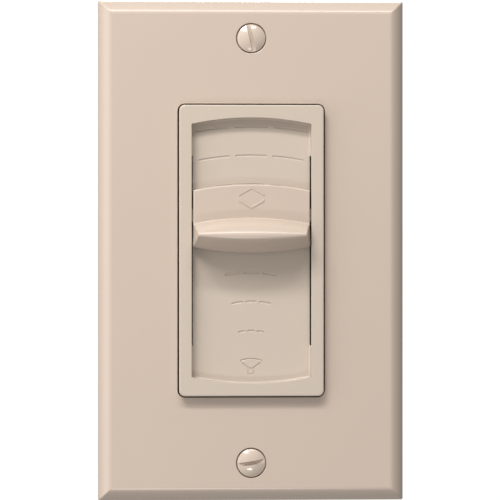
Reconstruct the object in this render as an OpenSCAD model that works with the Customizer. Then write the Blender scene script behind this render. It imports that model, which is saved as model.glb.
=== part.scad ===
// Decorator-style in-wall slide volume control for a pair of loudspeakers.
// Millimetres. X to the right, Y into the wall, Z up. The wall surface is the plane Y = 0, and the origin is
// midway between the two screws that hold the yoke to the wall box.

/* [Wall plate] */
// Width of the wall plate
plate_w = 69.85; // [68:0.05:75]
// Height of the wall plate
plate_h = 114.3; // [112:0.1:120]
// Height of the plate's face above the wall
plate_d = 5.6; // [5.4:0.1:5.8]
// Thickness of the plate's shell
plate_wall = 2.0; // [1.6:0.1:2.2]
// Radius of the rounded bevel round the plate
bevel_r = 4.96; // [4.9:0.02:5.1]
// Distance between the two cover screws
cover_pitch = 96.8; // [96:0.1:97.5]

/* [Insert] */
// Width of the bezel
bezel_w = 32.9; // [32.5:0.1:33.2]
// Height of the bezel
bezel_h = 66.2; // [66:0.1:66.4]
// Height of the bezel's face above the plate's face
bezel_proud = 2.0; // [1.5:0.1:2.2]
// Radius of the bezel's corners
bezel_r = 1.3; // [0.8:0.1:2]
// Gap between the bezel and the plate's opening
bezel_gap = 0.35; // [0.15:0.05:0.4]
// Width of the window in the bezel
window_w = 27.2; // [27:0.1:27.4]
// Height of the window along its middle
window_h = 60.4; // [60:0.1:60.6]
// Radius of the window's bowed top and bottom edges
window_r = 64; // [55:1:90]
// Depth of the engraved scale marks
mark_depth = 0.35; // [0.2:0.05:0.5]
// Number of rows in the scale
mark_rows = 8; // [4:1:8]

/* [Slider] */
// Width of the slider
slider_w = 26.5; // [26:0.1:26.6]
// Reach of the finger lip in front of the bezel
lip_reach = 6.4; // [4:0.1:8]
// Travel above the place where the slider is drawn
travel_up = 12; // [4:4:12]
// Travel below the place where the slider is drawn
travel_down = 28; // [12:4:28]
// Distance from one click to the next
click_pitch = 4; // [4:1:4]

/* [Mechanism] */
// Thickness of the steel yoke
yoke_t = 1.2; // [1:0.1:1.3]
// Distance between the two wall box screws
box_pitch = 83.3; // [83:0.1:84]
// Radius of the round holes for the wall box screws
box_hole_r = 2.1; // [1.9:0.05:2.3]
// Depth of the slide housing
housing_d = 7.6; // [7.6:0.1:8]
// Thickness of the contact board
board_t = 1.6; // [1.4:0.1:1.8]
// Radius of the guide rods
rod_r = 1.0; // [0.9:0.05:1.1]

/* [Transformers and terminals] */
// Depth of the transformer cores
core_d = 28; // [26:1:30]
// Distance from the middle of the device to each transformer
core_x = 10.6; // [10.4:0.1:10.8]
// Distance between the poles of a plug
pole_pitch = 5.08; // [5:0.02:5.08]

/* [Hidden] */
$fn = 64;

almond = [0.86, 0.79, 0.73];
ivory = [0.87, 0.81, 0.74];
bronze = [0.72, 0.5, 0.3];
eps = 0.01;

// Wall plate: the bevel is an arc about a line near the wall
plate_y = -plate_d;
bevel_in = 4.76;
bevel_back = 1.0;
screw_z = cover_pitch / 2;
boss_r = 5;
sink_r = 3.45;
sink_depth = 1.5;
rib_x = 24;
rib_t = 1.2;
opening_w = bezel_w + 2 * bezel_gap;
opening_h = bezel_h + 2 * bezel_gap;

// Cover screws
head_r = 3.3;
head_rise = 0.9;
head_rim_y = plate_y + 0.05;
dome_r = (head_r * head_r + head_rise * head_rise) / (2 * head_rise);
shank_r = 1.72;
shank_end = 6;
slot_w = 1.0;
slot_y = head_rim_y + 0.05;
slot_turn = [-9.5, -103];

// Layers from the front to the back
bezel_y = plate_y - bezel_proud;
skin_y = bezel_y + 1.2;
floor_y = bezel_y + 2.3;
scale_back = floor_y + 1.4;
yoke_y = -yoke_t;
pad_t = 0.1;
board_y = housing_d;
board_back = board_y + board_t;

// Bezel and scale plate
pocket_w = 30.5;
pocket_h = 63.8;
window_wall = 0.9;
slit_half = 21.6;
hook_x = 8;
hook_half = 2;
hook_z = [31.95, 33.0];
hook_barb = 33.6;
scale_w = 30.3;
scale_h = 63.6;
notch_x = 13.35;
foot_x = 11;
foot_z = 30.3;
mark_w = 0.6;
mark_top = 28.4;
mark_step = 6.66;
mark_source = -28.2;

// Slider
slider_top = 15.1;
slider_base = -0.5;
slider_back = floor_y - 0.2;
crease_z = 7.3;
nose_y = bezel_y - lip_reach;
nose_r = 1.5;
nose_z = 3.3;
lip_taper = 1.1;
tab_y = [skin_y + 0.2, floor_y - 0.1];
tab_z = [6.5, 9.5];
leg_x = [13.75, 14.95];
leg_end = -0.4;
catch_x = 13.0;
catch_y = -1.35;

// Carriage, rods and click spring
carriage_x = 14.6;
carriage_z = [1, 15];
carriage_back = 4.5;
rod_x = 12.5;
rod_y = 2.1;
rod_half = 32;
spring_t = 0.2;
spring_tip = 8;

// Slide housing and yoke
housing_w = 43;
housing_h = 70;
cavity_x = 15.6;
cavity_z = 29.2;
click_from = spring_tip - travel_down;
clicks = (travel_up + travel_down) / click_pitch;
board_screw_x = 19.2;
board_screw_z = 32.6;
yoke_h = 106.4;

// Contacts
pad_x = 9.1;
rail_x = 4.9;
finger_x = [3.9, 5.3, 8.4, 9.8];
finger_w = 0.9;

// Transformers: the cores stand behind the upper half of the board
core_z = 17;
core_y = board_back + 2.4;
core_back = core_y + core_d;
core_half_x = 5;
core_half_z = 15;
limb = 5;
bobbin_in = 5.15;
bobbin_out = 5.95;
flange_t = 0.9;
flange_x = 9.6;
flange_z = 9.8;
wire_half = 9.3;
pin_x = 8.3;
bracket_t = 1.0;
bracket_x = 17;
bracket_y = core_back + 0.05;

// Terminals below the transformers
block_x = 10.4;
block_z = -24.25;
header_w = 20.3;
header_z = [-30.1, -18.4];
header_wall = 0.8;
header_end = board_back + 11;
plug_y = [board_back + 3.2, board_back + 20.3];
plug_z = [-29.15, -19.35];
cage_y = [board_back + 12.1, board_back + 17.3];
cage_z = [-27.4, -21.4];

// Jumpers
jumper_z = -9;
jumper_pitch = 2.54;

// A flat outline in X and Z, drawn from the plane y0 back to the plane y1
module slab(y0, y1) {
    translate([0, y1, 0]) rotate([90, 0, 0]) linear_extrude(y1 - y0) children();
}

// A flat outline in Y and Z, drawn from the plane x0 to the plane x1
module across(x0, x1) {
    translate([x0, 0, 0]) rotate([90, 0, 90]) linear_extrude(x1 - x0) children();
}

// A block between two corners
module block(x, y, z) {
    translate([x[0], y[0], z[0]]) cube([x[1] - x[0], y[1] - y[0], z[1] - z[0]]);
}

// A cylinder or cone along Y
module drum(r0, r1, y0, y1) {
    translate([0, y0, 0]) rotate([-90, 0, 0]) cylinder(h = y1 - y0, r1 = r0, r2 = r1);
}

module rounded_rect(w, h, r) {
    square([w - 2 * r, h], center = true);
    square([w, h - 2 * r], center = true);
    for (x = [-1, 1], z = [-1, 1]) translate([x * (w / 2 - r), z * (h / 2 - r)]) circle(r);
}

// The places on both sides of the middle plane
module both_sides() {
    children();
    mirror([1, 0, 0]) children();
}

module top_and_bottom() {
    children();
    mirror([0, 0, 1]) children();
}

// A cross-section of the plate, or of its hollow when it is inset by the shell's thickness
module plate_section(w, inset) {
    r = bevel_r - inset;
    half = w / 2 - inset;
    front = plate_d - inset;
    behind = inset > 0 ? 1 : 0;
    arc_x = w / 2 - bevel_in;
    rim = bevel_back + sqrt(r * r - pow(half - arc_x, 2));
    flat = arc_x + sqrt(r * r - pow(front - bevel_back, 2));
    intersection() {
        translate([-half, -front]) square([2 * half, front + behind]);
        union() {
            translate([-half, -rim]) square([2 * half, rim + behind]);
            translate([-flat, -front]) square([2 * flat, front + behind]);
            for (s = [-1, 1]) translate([s * arc_x, -bevel_back]) circle(r);
        }
    }
}

module plate_form(inset) {
    intersection() {
        linear_extrude(plate_h + 10, center = true) plate_section(plate_w, inset);
        rotate([0, 90, 0]) linear_extrude(plate_w + 10, center = true) plate_section(plate_h, inset);
    }
}

module wall_plate() {
    color(almond) difference() {
        union() {
            difference() {
                plate_form(0);
                plate_form(plate_wall);
            }
            slab(plate_y + 1, -2.2) rounded_rect(opening_w + 3, opening_h + 3, 2.5);
            top_and_bottom() translate([0, 0, screw_z]) drum(boss_r, boss_r, plate_y + 1, -1.9);
            for (s = [-1, 1])
                block([s * rib_x - rib_t / 2, s * rib_x + rib_t / 2], [plate_y + 1, -1.4], [-45, 45]);
        }
        slab(plate_y - 1, 1) rounded_rect(opening_w, opening_h, bezel_r + bezel_gap);
        top_and_bottom() translate([0, 0, screw_z]) {
            drum(sink_r + 1, sink_r - sink_depth, plate_y - 1, plate_y + sink_depth);
            drum(sink_r - sink_depth, sink_r - sink_depth, plate_y, 1);
        }
    }
}

module plate_screws() {
    color(almond) for (k = [0, 1]) translate([0, 0, (2 * k - 1) * screw_z]) difference() {
        union() {
            intersection() {
                translate([0, head_rim_y - head_rise + dome_r, 0]) sphere(dome_r);
                drum(head_r, head_r, plate_y - 3, head_rim_y);
            }
            drum(head_r, head_r, head_rim_y - eps, head_rim_y + 0.05);
            drum(head_r, shank_r, head_rim_y + 0.05, head_rim_y + 0.05 + head_r - shank_r);
            drum(shank_r, shank_r, head_rim_y + 1, shank_end);
        }
        rotate([0, slot_turn[k], 0]) translate([-head_r - 1, plate_y - 3, -slot_w / 2])
            cube([2 * head_r + 2, slot_y - plate_y + 3, slot_w]);
    }
}

// The window has upright sides and bowed ends
module window_form(grow) {
    intersection() {
        square([window_w + 2 * grow, window_h + 2 * grow + 1], center = true);
        translate([0, window_h / 2 - window_r]) circle(window_r + grow, $fn = 360);
        translate([0, window_r - window_h / 2]) circle(window_r + grow, $fn = 360);
    }
}

module bezel_hook() {
    translate([hook_x, 0, 0]) {
        block([-hook_half, hook_half], [yoke_y - 1, 1.3], hook_z);
        across(-hook_half, hook_half)
            polygon([[0.1, hook_z[1]], [0.1, hook_barb], [0.5, hook_barb], [2.0, hook_z[1] - 0.3],
                [2.0, hook_z[0]], [1.2, hook_z[0]]]);
    }
}

module bezel() {
    color(ivory) difference() {
        union() {
            difference() {
                slab(bezel_y, yoke_y) rounded_rect(bezel_w, bezel_h, bezel_r);
                slab(skin_y, yoke_y + 1) square([pocket_w, pocket_h], center = true);
            }
            difference() {
                slab(skin_y - 0.5, floor_y) window_form(window_wall);
                block([-20, 20], [skin_y, 0], [-slit_half, slit_half]);
            }
            both_sides() top_and_bottom() bezel_hook();
        }
        slab(bezel_y - 1, yoke_y + 1) window_form(0);
    }
}

// Place, half-width and bow of one row of the scale, which fans out from the loudspeaker mark
function row_z(i) = mark_top - i * mark_step;
function row_rise(i) = row_z(i) - mark_source;
function row_half(i) = 0.76 + 0.224 * row_rise(i);
function row_bow(i) = 1.25 * row_rise(i);
function row_gap(i) = 0.4 + 0.022 * row_rise(i);

module mark_ring(r, w) {
    difference() {
        circle(r + w / 2, $fn = 180);
        circle(r - w / 2, $fn = 180);
    }
}

module mark_row(i) {
    span = (2 * row_half(i) - 2 * row_gap(i)) / 3;
    step = span + row_gap(i);
    intersection() {
        translate([0, row_z(i) - row_bow(i)]) mark_ring(row_bow(i), mark_w);
        for (k = [-1:1]) translate([k * step - span / 2, row_z(i) - 4]) square([span, 5]);
    }
}

module loudspeaker_mark() {
    intersection() {
        translate([0, -28.2]) mark_ring(3.6, 0.45);
        translate([-2.4, -26]) square([4.8, 4]);
    }
    for (s = [-1, 1])
        polygon([[s * 2.5, -25.3], [s * 2.0, -25.3], [s * 0.5, -26.9], [s * 0.95, -27.1]]);
    translate([0, -27.6]) difference() {
        square(1.7, center = true);
        square(0.9, center = true);
    }
}

module scale_plate() {
    color(ivory) difference() {
        union() {
            slab(floor_y, scale_back) rounded_rect(scale_w, scale_h, 0.5);
            both_sides() top_and_bottom() translate([foot_x, 0, foot_z]) drum(1.25, 1.25, scale_back - 0.2, yoke_y);
        }
        both_sides() block([notch_x, 20], [floor_y - 1, scale_back + 1], [-slit_half, slit_half]);
        slab(floor_y - 1, floor_y + mark_depth) {
            for (i = [0:mark_rows - 1]) mark_row(i);
            loudspeaker_mark();
        }
    }
}

// Side view of the finger lip: its top curves out and down from the face to a rounded nose
module lip_section() {
    polygon([[slider_back, slider_base], [slider_back, crease_z],
        for (a = [0:5:90]) [bezel_y - lip_reach * sin(a), nose_z + (crease_z - nose_z) * cos(a)],
        [nose_y + nose_r, nose_z - nose_r], [bezel_y, 0.2], [bezel_y, slider_base]]);
    translate([nose_y + nose_r, nose_z]) circle(nose_r);
}

module arrow_mark(z) {
    slab(bezel_y - 0.15, bezel_y + 0.1) translate([0, z])
        polygon([[-2.9, 0], [0, 1.7], [2.9, 0], [2.9, -0.55], [0, 1.1], [-2.9, -0.55]]);
}

module slider() {
    color(almond) {
        difference() {
            union() {
                intersection() {
                    slab(bezel_y, slider_back) square([slider_w, 40], center = true);
                    translate([0, 0, slider_top - 65]) drum(65, 65, -20, 0, $fn = 360);
                    translate([0, 0, slider_base + 68]) drum(68, 68, -20, 0, $fn = 360);
                }
                intersection() {
                    across(-slider_w / 2, slider_w / 2) lip_section();
                    linear_extrude(40, center = true) polygon([[-slider_w / 2, 0], [slider_w / 2, 0],
                        [slider_w / 2, bezel_y], [slider_w / 2 - lip_taper, nose_y - 1],
                        [lip_taper - slider_w / 2, nose_y - 1], [-slider_w / 2, bezel_y]]);
                    translate([0, 0, slider_base + 68]) drum(68, 68, -20, 0, $fn = 360);
                }
                both_sides() {
                    block([slider_w / 2 - 1, leg_x[1]], tab_y, tab_z);
                    block(leg_x, [tab_y[0], leg_end], tab_z);
                    block([catch_x, leg_x[0] + 0.5], [catch_y, leg_end], tab_z);
                }
                arrow_mark(12.9);
                rotate([0, 180, 0]) arrow_mark(-11.2);
            }
            across(-11.6, 11.6)
                polygon([[slider_back + 1, 1.3], [slider_back + 1, 5.6], [bezel_y, 5.6],
                    [nose_y + 3.5, nose_z + 0.6], [nose_y + 1.6, nose_z + 0.3],
                    [nose_y + 1.6, nose_z - 0.3], [bezel_y, 1.5]]);
        }
    }
}

module carriage() {
    color("dimgray") difference() {
        union() {
            block([-13.55, 13.55], [-3.6, -1.4], [2, 14]);
            block([-carriage_x, carriage_x], [-1.5, carriage_back], carriage_z);
            both_sides() for (x = [rail_x, pad_x]) translate([x, 0, 13]) drum(0.5, 0.5, 4.4, 5.0);
        }
        both_sides() {
            translate([rod_x, rod_y, 0]) cylinder(r = rod_r + 0.05, h = 20);
            block([13.6, 16], [-1.5, -0.2], [6.3, 9.7]);
            block([12.85, 14], [-1.45, -0.2], [6.3, 9.7]);
        }
        block([-carriage_x - 1, -13.85], [1.5, 4.4], [1.95, 2.45]);
    }
}

// A leaf of wiper fingers that bridges one column of pads and its common rail
module wiper() {
    difference() {
        union() {
            block([3.4, 10.3], [carriage_back, carriage_back + spring_t], [11, 14.6]);
            for (x = finger_x) across(x - finger_w / 2, x + finger_w / 2)
                polygon([[4.5, 11.1], [4.5, 10.9], [7.2, 8.3], [7.25, 8.0], [7.2, 7.7], [6.6, 7.0],
                    [6.8, 7.0], [7.4, 7.7], [7.45, 8.0], [7.4, 8.3], [4.7, 10.9], [4.7, 11.1]]);
        }
        for (x = [rail_x, pad_x]) translate([x, 0, 13]) drum(0.55, 0.55, 4, 5);
    }
}

module left_wiper() {
    color(bronze) mirror([1, 0, 0]) wiper();
}

module right_wiper() {
    color(bronze) wiper();
}

// A leaf that rides over the notches in the housing's left wall
module detent_spring() {
    color("silver") slab(1.7, 4.2) {
        polygon([[-13.95, 2.1], [-14.85, 2.1], [-14.85, 3.5], [-15.45, 7.3], [-15.55, spring_tip],
            [-15.45, 8.7], [-14.85, 12.4], [-14.85, 14.2], [-14.65, 14.2], [-14.65, 12.4],
            [-15.25, 8.6], [-15.35, spring_tip], [-15.25, 7.4], [-14.65, 3.5], [-14.65, 2.3], [-13.95, 2.3]]);
    }
}

module guide_rods() {
    color("silver") both_sides() translate([rod_x, rod_y, -rod_half]) cylinder(r = rod_r, h = 2 * rod_half);
}

module slide_housing() {
    color("darkgray") difference() {
        slab(0, board_y) rounded_rect(housing_w, housing_h, 1.5);
        slab(-1, board_y + 1) rounded_rect(2 * cavity_x, 2 * cavity_z, 0.8);
        for (k = [0:clicks])
            translate([-cavity_x, 0, click_from + k * click_pitch]) drum(0.7, 0.7, -1, board_y + 1);
        both_sides() {
            translate([rod_x, rod_y, -rod_half]) cylinder(r = rod_r + 0.02, h = 2 * rod_half);
            top_and_bottom() {
                translate([board_screw_x, 0, board_screw_z]) drum(1.15, 1.15, -1, board_y + 1);
                block([hook_x - 2.2, hook_x + 2.2], [-1, 3], [31.5, hook_barb + 0.3]);
            }
        }
    }
}

module yoke() {
    color("silver") difference() {
        slab(yoke_y, 0) union() {
            rounded_rect(housing_w, 74, 2);
            rounded_rect(22, yoke_h, 2);
            for (s = [-1, 1]) translate([0, s * (yoke_h / 2 - 3.6)]) rounded_rect(38, 7.2, 3.5);
        }
        slab(yoke_y - 1, 1) rounded_rect(30.8, 58, 1);
        top_and_bottom() {
            translate([0, 0, box_pitch / 2]) drum(box_hole_r, box_hole_r, yoke_y - 1, 1);
            translate([0, 0, screw_z]) drum(1.8, 1.8, yoke_y - 1, 1);
            both_sides() {
                translate([board_screw_x, 0, board_screw_z]) drum(1.0, 1.0, yoke_y - 1, 1);
                block([hook_x - 2.2, hook_x + 2.2], [yoke_y - 1, 1], [31.75, 33.3]);
                for (z = [-1.9, 1.9]) translate([12, 0, yoke_h / 2 - 3.6 + z]) drum(0.8, 0.8, yoke_y - 1, 1);
            }
        }
    }
}

module board_screws() {
    color("silver") both_sides() top_and_bottom() translate([board_screw_x, 0, board_screw_z]) difference() {
        union() {
            drum(1.9, 1.9, board_back, board_back + 0.8);
            drum(1.9, 1.2, board_back + 0.8, board_back + 1.3);
            drum(0.97, 0.97, yoke_y + 0.2, board_back + 0.5);
        }
        for (turn = [0, 90]) rotate([0, turn, 0])
            translate([-1.2, board_back + 0.5, -0.2]) cube([2.4, 2, 0.4]);
    }
}

module contact_board() {
    color("darkgreen") difference() {
        slab(board_y, board_back) rounded_rect(housing_w, housing_h, 1);
        both_sides() {
            top_and_bottom() translate([board_screw_x, 0, board_screw_z]) drum(1.15, 1.15, 0, 20);
            for (s = [-1, 1], z = [-7.5, -2.5, 2.5, 7.5])
                translate([core_x + s * pin_x, 0, core_z + z]) drum(0.5, 0.5, 0, 20);
            for (s = [-1, 1]) translate([core_x, 0, core_z + s * (core_half_z + 0.1 + bracket_t / 2)])
                block([-2.7, 2.7], [0, 20], [-0.65, 0.65]);
            for (k = [0:3]) translate([pole_x(k), 0, block_z]) drum(0.8, 0.8, 0, 20);
            for (k = [0:2], s = [-1, 1])
                translate([(k + 0.5) * jumper_pitch, 0, jumper_z + s * jumper_pitch / 2]) drum(0.5, 0.5, 0, 20);
        }
    }
}

// Eleven pads, one for each click, and the rail that the wiper joins them to
module contacts() {
    for (k = [0:clicks])
        block([pad_x - 1.7, pad_x + 1.7], [board_y - pad_t, board_y],
            [click_from + k * click_pitch - 1.3, click_from + k * click_pitch + 1.3]);
    block([rail_x - 1.5, rail_x + 1.5], [board_y - pad_t, board_y],
        [click_from - 2.5, click_from + clicks * click_pitch + 2.5]);
}

module left_contacts() {
    color("gold") mirror([1, 0, 0]) contacts();
}

module right_contacts() {
    color("gold") contacts();
}

module core() {
    difference() {
        block([core_x - core_half_x, core_x + core_half_x], [core_y, core_back],
            [core_z - core_half_z, core_z + core_half_z]);
        for (s = [-1, 1]) translate([0, 0, core_z + s * 1.5 * limb])
            block([0, 30], [core_y + limb, core_back - limb], [-limb / 2, limb / 2]);
    }
}

module bobbin() {
    translate([core_x, 0, core_z]) difference() {
        union() {
            slab(core_y + limb + 0.2, core_back - limb - 0.2) square(2 * bobbin_out, center = true);
            for (y = [core_y + limb + 0.15, core_back - limb - 0.15 - flange_t])
                slab(y, y + flange_t) rounded_rect(2 * flange_x, 2 * flange_z, 0.8);
        }
        slab(core_y, core_back) square(2 * bobbin_in, center = true);
        for (s = [-1, 1], z = [-7.5, -2.5, 2.5, 7.5])
            translate([s * pin_x, 0, z]) drum(0.37, 0.37, core_y, core_y + limb + 0.6);
    }
}

module winding() {
    translate([core_x, 0, core_z])
        slab(core_y + limb + 0.25 + flange_t, core_back - limb - 0.25 - flange_t) difference() {
            rounded_rect(2 * wire_half, 2 * wire_half, 2.5);
            square(2 * bobbin_out + 0.05, center = true);
        }
}

module tape() {
    translate([core_x, 0, core_z])
        slab(core_y + limb + 1.6, core_back - limb - 1.6) difference() {
            rounded_rect(2 * wire_half + 0.5, 2 * wire_half + 0.5, 2.75);
            rounded_rect(2 * wire_half + 0.05, 2 * wire_half + 0.05, 2.52);
        }
}

module left_core() {
    color("slategray") mirror([1, 0, 0]) core();
}

module right_core() {
    color("slategray") core();
}

module left_bobbin() {
    color("ivory") mirror([1, 0, 0]) bobbin();
}

module right_bobbin() {
    color("ivory") bobbin();
}

module left_winding() {
    color("chocolate") mirror([1, 0, 0]) winding();
}

module right_winding() {
    color("chocolate") winding();
}

module left_tape() {
    color("khaki") mirror([1, 0, 0]) tape();
}

module right_tape() {
    color("khaki") tape();
}

module transformer_pins() {
    color("silver") both_sides() for (s = [-1, 1], z = [-7.5, -2.5, 2.5, 7.5])
        translate([core_x + s * pin_x, 0, core_z + z]) drum(0.35, 0.35, board_y + 0.2, core_y + limb + 0.5);
}

// One steel strap round the backs of both cores, with feet through the board
module transformer_bracket() {
    color("lightgray") translate([0, 0, core_z]) {
        block([-bracket_x, bracket_x], [bracket_y, bracket_y + bracket_t],
            [-core_half_z - 0.1 - bracket_t, core_half_z + 0.1 + bracket_t]);
        top_and_bottom() {
            block([-bracket_x, bracket_x], [board_back, bracket_y + eps],
                [core_half_z + 0.1, core_half_z + 0.1 + bracket_t]);
            both_sides() block([core_x - 2.5, core_x + 2.5], [board_y + 0.3, board_back + 0.1],
                [core_half_z + 0.1, core_half_z + 0.1 + bracket_t]);
        }
    }
}

function pole_x(k) = block_x + (k - 1.5) * pole_pitch;

module header() {
    difference() {
        block([block_x - header_w / 2, block_x + header_w / 2], [board_back, header_end], header_z);
        block([0, 30], [board_back + 3, header_end + 1], [header_z[0] + header_wall, header_z[1] - header_wall]);
        for (k = [0:3]) translate([pole_x(k), 0, block_z]) block([-0.52, 0.52], [0, 20], [-0.52, 0.52]);
    }
}

module header_pins() {
    for (k = [0:3]) translate([pole_x(k), 0, block_z])
        block([-0.5, 0.5], [board_y + 0.2, header_end - 1], [-0.5, 0.5]);
}

module plug() {
    difference() {
        block([block_x - 10, block_x + 10], plug_y, plug_z);
        for (k = [0:3]) translate([pole_x(k), 0, 0]) {
            block([-0.9, 0.9], [plug_y[0] - 1, cage_y[0]], [block_z - 1.2, block_z + 1.0]);
            block([-1.9, 1.9], [cage_y[0] - 0.2, cage_y[1] + 0.2], [cage_z[0] - 0.2, cage_z[1] + 0.2]);
            block([-1.5, 1.5], [cage_y[1], plug_y[1] + 1], [block_z - 1.7, block_z + 1.9]);
            translate([0, (cage_y[0] + cage_y[1]) / 2, plug_z[0] - 1]) cylinder(r = 1.8, h = 3);
        }
    }
}

// A brass cage for each wire, with the tongue that bears on the header's pin
module clamps() {
    for (k = [0:3]) translate([pole_x(k), 0, 0]) difference() {
        union() {
            block([-1.8, 1.8], cage_y, cage_z);
            block([-0.6, 0.6], [plug_y[0] + 0.6, cage_y[0] + 0.1], [block_z - 1.0, block_z - 0.6]);
        }
        block([-1.1, 1.1], [cage_y[0] + 0.6, cage_y[1] + 1], [cage_z[0] + 0.7, cage_z[1] - 0.7]);
        translate([0, (cage_y[0] + cage_y[1]) / 2, cage_z[0] - 1]) cylinder(r = 1.05, h = 2.5);
    }
}

module clamp_screws() {
    for (k = [0:3]) translate([pole_x(k), (cage_y[0] + cage_y[1]) / 2, 0]) difference() {
        union() {
            translate([0, 0, plug_z[0] + 0.15]) cylinder(r = 1.65, h = 1.1);
            translate([0, 0, plug_z[0] + 0.2]) cylinder(r = 1.0, h = 4.2);
        }
        translate([-2, -0.25, plug_z[0]]) cube([4, 0.5, 0.75]);
    }
}

module input_header() {
    color("darkgreen") mirror([1, 0, 0]) header();
}

module output_header() {
    color("darkgreen") header();
}

module input_pins() {
    color("silver") mirror([1, 0, 0]) header_pins();
}

module output_pins() {
    color("silver") header_pins();
}

module input_plug() {
    color("green") mirror([1, 0, 0]) plug();
}

module output_plug() {
    color("green") plug();
}

module input_clamps() {
    color(bronze) mirror([1, 0, 0]) clamps();
}

module output_clamps() {
    color(bronze) clamps();
}

module input_clamp_screws() {
    color("silver") mirror([1, 0, 0]) clamp_screws();
}

module output_clamp_screws() {
    color("silver") clamp_screws();
}

module jumper_places() {
    for (k = [-3:2], s = [-1, 1])
        translate([(k + 0.5) * jumper_pitch, 0, jumper_z + s * jumper_pitch / 2]) children();
}

module jumper_header() {
    color("dimgray") difference() {
        block([-3 * jumper_pitch, 3 * jumper_pitch], [board_back, board_back + 2.5],
            [jumper_z - jumper_pitch, jumper_z + jumper_pitch]);
        jumper_places() block([-0.34, 0.34], [0, 20], [-0.34, 0.34]);
    }
}

module jumper_pins() {
    color("gold") jumper_places() block([-0.32, 0.32], [board_y + 0.2, board_back + 8.6], [-0.32, 0.32]);
}

module jumper_caps() {
    color("dimgray") for (s = [-1.5, 1.5]) translate([s * jumper_pitch, 0, jumper_z]) difference() {
        block([-1.15, 1.15], [board_back + 2.8, board_back + 9.2], [-2.45, 2.45]);
        for (t = [-1, 1]) translate([0, 0, t * jumper_pitch / 2])
            block([-0.42, 0.42], [board_back, board_back + 8.7], [-0.42, 0.42]);
    }
}

wall_plate();
plate_screws();
bezel();
scale_plate();
slider();
carriage();
left_wiper();
right_wiper();
detent_spring();
guide_rods();
slide_housing();
yoke();
contact_board();
board_screws();
left_contacts();
right_contacts();
left_core();
left_bobbin();
left_winding();
left_tape();
right_core();
right_bobbin();
right_winding();
right_tape();
transformer_pins();
transformer_bracket();
input_header();
input_pins();
input_plug();
input_clamps();
input_clamp_screws();
output_header();
output_pins();
output_plug();
output_clamps();
output_clamp_screws();
jumper_header();
jumper_pins();
jumper_caps();
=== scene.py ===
# Slide volume control in a decorator wall plate: the fine pieces, finishes, light and camera.
# Lengths are millimetres unless a note says otherwise; meshes are scaled to metres as they are made.
import bpy
import bmesh
from math import sin, cos, tan, pi, radians, sqrt, asin, acos, atan2, hypot
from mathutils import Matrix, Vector


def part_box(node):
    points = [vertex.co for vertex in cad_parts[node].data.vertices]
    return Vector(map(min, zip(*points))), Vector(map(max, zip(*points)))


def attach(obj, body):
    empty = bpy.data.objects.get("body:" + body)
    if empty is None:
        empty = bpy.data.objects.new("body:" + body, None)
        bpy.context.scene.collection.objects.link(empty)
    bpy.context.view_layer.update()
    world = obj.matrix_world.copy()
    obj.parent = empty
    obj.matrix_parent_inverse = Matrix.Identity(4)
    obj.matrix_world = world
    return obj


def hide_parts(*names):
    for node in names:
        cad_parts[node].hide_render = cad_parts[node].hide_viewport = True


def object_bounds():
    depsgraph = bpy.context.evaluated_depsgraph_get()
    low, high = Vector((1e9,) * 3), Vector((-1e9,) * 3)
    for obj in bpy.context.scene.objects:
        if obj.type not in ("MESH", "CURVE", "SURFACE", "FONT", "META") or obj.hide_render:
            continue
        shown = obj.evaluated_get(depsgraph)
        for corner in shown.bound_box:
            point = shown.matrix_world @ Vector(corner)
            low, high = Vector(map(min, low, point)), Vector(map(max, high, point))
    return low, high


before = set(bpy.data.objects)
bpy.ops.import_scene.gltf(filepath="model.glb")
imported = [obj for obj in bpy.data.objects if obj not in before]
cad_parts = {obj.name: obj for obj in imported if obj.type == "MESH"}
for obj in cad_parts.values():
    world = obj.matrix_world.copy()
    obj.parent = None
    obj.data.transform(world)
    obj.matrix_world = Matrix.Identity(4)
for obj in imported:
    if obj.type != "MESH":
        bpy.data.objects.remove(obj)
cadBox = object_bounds()
mm = 0.001
scene = bpy.context.scene


# lowest and highest corners of a CAD node
def span(node):
    low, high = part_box(node)
    return Vector(low) / mm, Vector(high) / mm


# sizes that several pieces share
bezelLow, bezelHigh = span("bezel")
bezelW, bezelH = bezelHigh.x - bezelLow.x, 66.2
bezelFront = bezelLow.y
plateFront = span("wall_plate")[0].y
floorFront = span("scale_plate")[0].y
windowW, windowH = 27.2, 60.4
slitHalf = 21.6         # the slits beside the scale reach this far up and down
coverScrewZ = 48.4      # cover screws, above and below the middle

# shader helpers

# A socket that works in expressions: each operator adds its Math node
class Field:
    def __init__(self, finish, socket):
        self.finish = finish
        self.socket = socket

    def maths(self, operation, *terms):
        return self.finish.add("ShaderNodeMath", {"operation": operation}, dict(enumerate(terms)))

    def __add__(self, other):
        return self.maths("ADD", self, other)

    def __radd__(self, other):
        return self.maths("ADD", other, self)

    def __sub__(self, other):
        return self.maths("SUBTRACT", self, other)

    def __rsub__(self, other):
        return self.maths("SUBTRACT", other, self)

    def __mul__(self, other):
        return self.maths("MULTIPLY", self, other)

    def __rmul__(self, other):
        return self.maths("MULTIPLY", other, self)

    def __gt__(self, other):
        return self.maths("GREATER_THAN", self, other)

    def __lt__(self, other):
        return self.maths("LESS_THAN", self, other)

    def power(self, other):
        return self.maths("POWER", self, other)

    def clamped(self):
        return self.finish.add("ShaderNodeClamp", {}, {0: self})


class NodeBench:
    def __init__(self, tree):
        self.tree = tree

    # any node: its type, its settings, then the values or links of its sockets
    def add(self, kind, settings, sockets, out=0):
        node = self.tree.nodes.new(kind)
        for key, value in settings.items():
            setattr(node, key, value)
        for key, value in sockets.items():
            self.feed(node.inputs[key], value)
        return Field(self, node.outputs[out])

    def feed(self, socket, value):
        if isinstance(value, Field):
            self.tree.links.new(value.socket, socket)
        else:
            socket.default_value = value

    def mix(self, factor, a, b):
        return self.add("ShaderNodeMix", {"data_type": "RGBA"}, {0: factor, 6: a, 7: b}, 2)


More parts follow.
